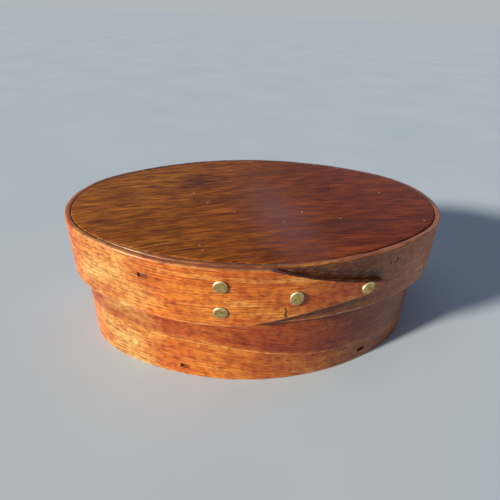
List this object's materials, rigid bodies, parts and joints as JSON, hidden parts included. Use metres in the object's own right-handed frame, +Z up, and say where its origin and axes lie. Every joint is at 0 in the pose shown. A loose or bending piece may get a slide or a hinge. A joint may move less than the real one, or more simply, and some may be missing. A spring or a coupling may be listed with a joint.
{
  "type": "shaker oval box",
  "caption": "Oval lidded box of thin bent wood, with long finger laps fixed by brass tacks and plank top and bottom held by wooden pegs.",
  "frame": {"origin": "centre of the underside, on the surface that the box stands on", "axes": "+Z up, +X along the length of the oval, -Y towards the side where the lid's finger lap shows"},
  "size_m": [0.14, 0.0947, 0.052],
  "materials": {
    "band_wood": "varnished",
    "board_wood": "varnished",
    "peg_wood": "bare",
    "tack_brass": "aged"
  },
  "bodies": {
    "base": {"base_board": "board_wood", "base_band": "band_wood", "base_peg_1": "peg_wood", "base_peg_2": "peg_wood", "base_peg_3": "peg_wood", "base_peg_4": "peg_wood", "base_peg_5": "peg_wood", "base_peg_6": "peg_wood", "base_tack_1": "tack_brass", "base_tack_2": "tack_brass", "base_tack_3": "tack_brass", "base_tack_4": "tack_brass"},
    "lid": {"lid_board": "board_wood", "lid_band": "band_wood", "lid_peg_1": "peg_wood", "lid_peg_2": "peg_wood", "lid_peg_3": "peg_wood", "lid_peg_4": "peg_wood", "lid_peg_5": "peg_wood", "lid_peg_6": "peg_wood", "lid_tack_1": "tack_brass", "lid_tack_2": "tack_brass", "lid_tack_3": "tack_brass", "lid_tack_4": "tack_brass"}
  },
  "joints": [
    {"name": "lid_lift", "type": "slide", "parent": "base", "child": "lid", "axis": [0, 0, 1], "range_m": [0, 0.05]}
  ]
}
